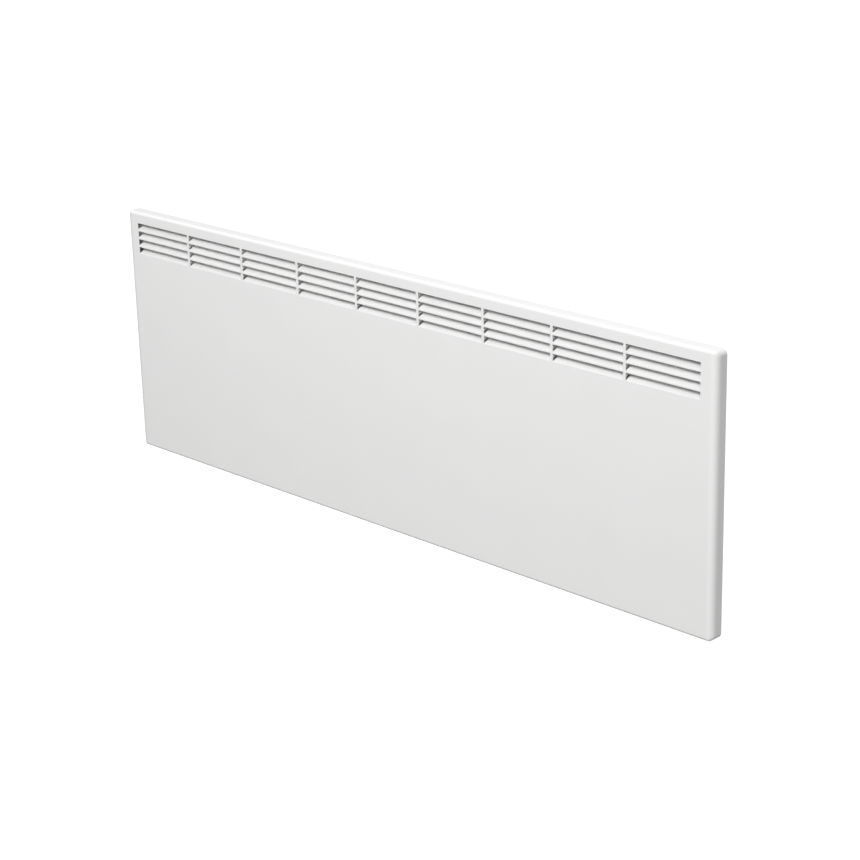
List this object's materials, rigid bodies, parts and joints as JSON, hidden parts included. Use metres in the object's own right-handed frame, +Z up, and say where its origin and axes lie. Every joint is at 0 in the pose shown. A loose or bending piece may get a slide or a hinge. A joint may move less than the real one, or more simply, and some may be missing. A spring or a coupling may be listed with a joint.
{
  "type": "wall panel heater",
  "caption": "Slim white wall-hung electric convector panel with an inward-bent louvred outlet along the top, a floor-projecting thermostat underneath and a tilting wall bracket.",
  "frame": {"origin": "on the wall plane, at the middle of the back face of the wall bracket's rail", "axes": "+X along the heater towards its right-hand end as seen from the front, +Y into the wall, +Z up"},
  "size_m": [1.19, 0.064, 0.4],
  "materials": {
    "white_enamel": "satin white powder coat",
    "casing_enamel": "satin white powder coat",
    "zinc_steel": "zinc-plated sheet",
    "aluminium": "mill finish",
    "sheath_steel": "heat-tinted tube",
    "ceramic": "unglazed steatite",
    "white_plastic": "fine spark-eroded",
    "grey_plastic": "fine spark-eroded",
    "black_plastic": "satin",
    "board_green": "solder resist",
    "lens_clear": "clear",
    "brass": "turned",
    "display_block": "tinted",
    "brown_wire": "silicone",
    "blue_wire": "silicone",
    "green_wire": "silicone",
    "white_wire": "silicone"
  },
  "bodies": {
    "wall_bracket": {"bracket_rail": "zinc_steel", "bracket_upright_left": "zinc_steel", "bracket_upright_right": "zinc_steel", "lock_rivet_left": "zinc_steel", "lock_rivet_right": "zinc_steel", "spring_clip_left": "zinc_steel", "spring_clip_right": "zinc_steel"},
    "lock_left": {"lock_left": "white_plastic"},
    "lock_right": {"lock_right": "white_plastic"},
    "heater": {"front_cover": "white_enamel", "rear_casing": "casing_enamel", "cover_screw_1": "zinc_steel", "cover_screw_2": "zinc_steel", "cover_screw_3": "zinc_steel", "cover_screw_4": "zinc_steel", "element_fins": "aluminium", "element_sheath": "sheath_steel", "element_pin_left": "brass", "element_pin_right": "brass", "element_support_left": "zinc_steel", "element_support_right": "zinc_steel", "element_bush_left": "ceramic", "element_bush_right": "ceramic", "heat_shield": "aluminium", "air_baffle": "casing_enamel", "limiter_bracket": "zinc_steel", "overheat_limiter": "black_plastic", "partition_plate": "zinc_steel", "control_housing": "white_plastic", "housing_lid": "white_plastic", "control_strip": "grey_plastic", "key_board": "board_green", "projector_barrel": "black_plastic", "projector_lens": "lens_clear", "projector_window": "lens_clear", "projector_display": "display_block", "control_board": "board_green", "relay": "black_plastic", "transformer": "grey_plastic", "smoothing_capacitor": "black_plastic", "cord_gland": "grey_plastic", "terminal_block": "white_plastic", "earth_stud": "brass", "power_switch_body": "black_plastic", "sensor_holder": "white_plastic", "temperature_sensor": "black_plastic", "neutral_lead": "blue_wire", "limiter_feed_lead": "brown_wire", "limiter_return_lead": "brown_wire", "switch_lead": "brown_wire", "sensor_lead": "white_wire", "earth_lead": "green_wire", "pivot_lug_left": "zinc_steel", "pivot_lug_right": "zinc_steel", "keeper_left": "zinc_steel", "keeper_right": "zinc_steel"},
    "power_switch_rocker": {"power_switch_rocker": "white_plastic"},
    "minus_button": {"minus_button": "white_plastic"},
    "plus_button": {"plus_button": "white_plastic"},
    "mode_button": {"mode_button": "white_plastic"}
  },
  "joints": [
    {"name": "heater_tilt", "type": "hinge", "parent": "wall_bracket", "child": "heater", "pos_m": [0, -0.007, -0.15], "axis": [1, 0, 0], "range_deg": [0, 22]},
    {"name": "lock_left_turn", "type": "hinge", "parent": "wall_bracket", "child": "lock_left", "pos_m": [-0.3, -0.0115, 0.152], "axis": [0, -1, 0], "range_deg": [0, 90]},
    {"name": "lock_right_turn", "type": "hinge", "parent": "wall_bracket", "child": "lock_right", "pos_m": [0.3, -0.0115, 0.152], "axis": [0, 1, 0], "range_deg": [0, 90]},
    {"name": "power_switch_rock", "type": "hinge", "parent": "heater", "child": "power_switch_rocker", "pos_m": [0.4435, -0.029, -0.1862], "axis": [0, -1, 0], "range_deg": [0, 14]},
    {"name": "minus_press", "type": "slide", "parent": "heater", "child": "minus_button", "axis": [0, 0, 1], "range_m": [0, 0.0008], "stiffness_N_per_m": 400},
    {"name": "plus_press", "type": "slide", "parent": "heater", "child": "plus_button", "axis": [0, 0, 1], "range_m": [0, 0.0008], "stiffness_N_per_m": 400},
    {"name": "mode_press", "type": "slide", "parent": "heater", "child": "mode_button", "axis": [0, 0, 1], "range_m": [0, 0.0008], "stiffness_N_per_m": 400}
  ]
}
